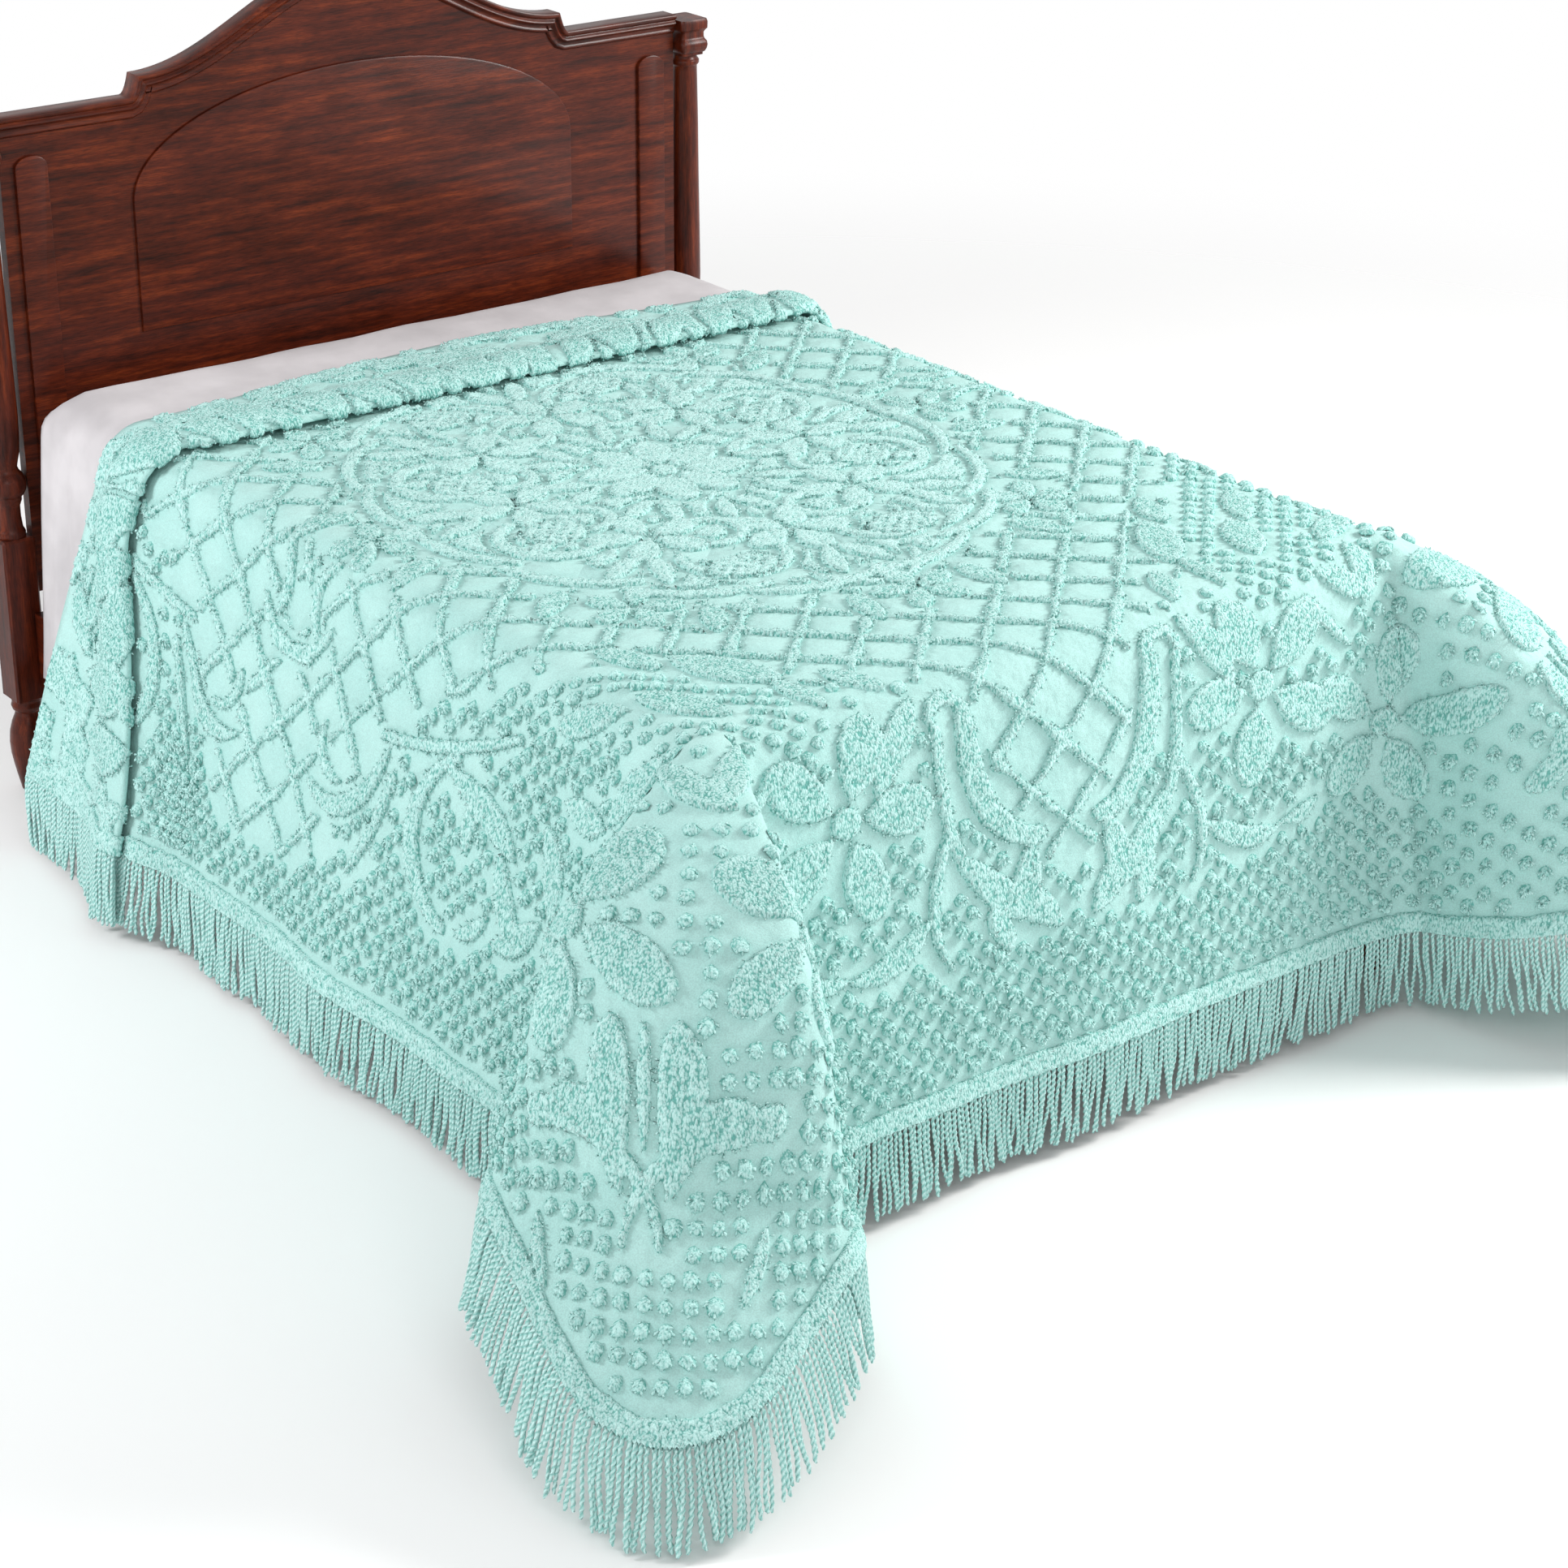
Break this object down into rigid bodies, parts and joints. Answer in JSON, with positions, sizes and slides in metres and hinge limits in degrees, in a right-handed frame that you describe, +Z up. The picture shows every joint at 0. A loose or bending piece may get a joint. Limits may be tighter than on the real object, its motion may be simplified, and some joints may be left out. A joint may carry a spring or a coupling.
{
  "type": "chenille bedspread on a bed",
  "caption": "Tufted chenille bedspread with a cord fringe on three sides, draped to the floor over a plain double bed with a sheet and an arched wooden headboard.",
  "frame": {"origin": "middle of the whole object's footprint, on the floor", "axes": "+Z up; +Y along the bed towards the headboard; +X towards the right side of the bed seen from its foot"},
  "size_m": [2.3654, 2.5464, 1.39],
  "materials": {
    "chenille": "matt cotton chenille, aqua",
    "cotton": "matt plain cotton",
    "ticking": "matt woven ticking",
    "mahogany": "satin dark red-brown varnish"
  },
  "bodies": {
    "root": {"bedspread": "chenille", "fringe": "chenille", "bed_sheet": "cotton", "mattress": "ticking", "box_base": "ticking", "headboard_panel": "mahogany", "headboard_crest": "mahogany", "headboard_bead": "mahogany", "headboard_foot_left": "mahogany", "headboard_foot_right": "mahogany", "headboard_block_left": "mahogany", "headboard_block_right": "mahogany", "headboard_post_left": "mahogany", "headboard_post_right": "mahogany", "headboard_cap_left": "mahogany", "headboard_cap_right": "mahogany", "side_rail_left": "mahogany", "side_rail_right": "mahogany", "foot_rail": "mahogany", "foot_leg_left": "mahogany", "foot_leg_right": "mahogany", "slat_1": "mahogany", "slat_2": "mahogany", "slat_3": "mahogany"}
  },
  "joints": []
}
